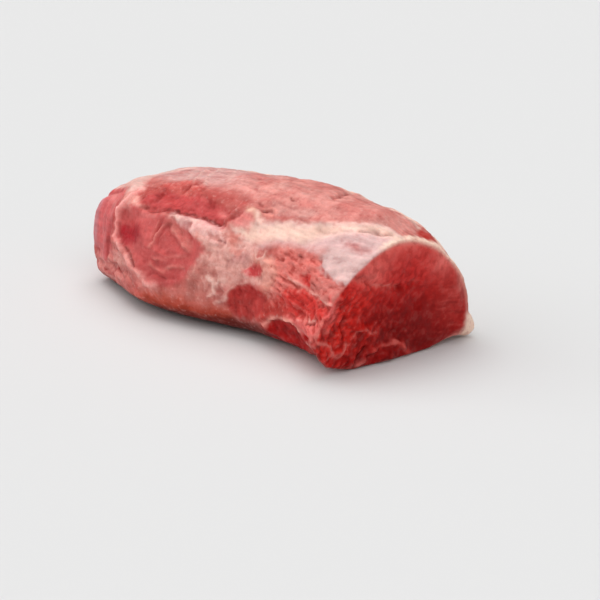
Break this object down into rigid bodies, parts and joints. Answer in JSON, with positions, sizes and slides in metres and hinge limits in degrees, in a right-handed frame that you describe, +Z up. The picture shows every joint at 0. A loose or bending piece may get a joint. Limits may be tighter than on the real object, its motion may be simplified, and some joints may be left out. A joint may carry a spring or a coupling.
{
  "type": "beef eye of round joint",
  "caption": "Raw beef eye of round, a rounded oblong muscle trimmed to a clean cut face, with silverskin, fat rims and a seam along one flank.",
  "frame": {"origin": "centre of the joint's box, on the surface that it rests on", "axes": "+X along the joint towards the clean cut face, +Z up from the resting surface, -Y towards the flank with the seam"},
  "size_m": [0.2721, 0.1353, 0.0916],
  "materials": {
    "raw_beef": "moist raw muscle, crimson where cut and pale pink under silverskin"
  },
  "bodies": {
    "root": {"eye_of_round": "raw_beef"}
  },
  "joints": []
}
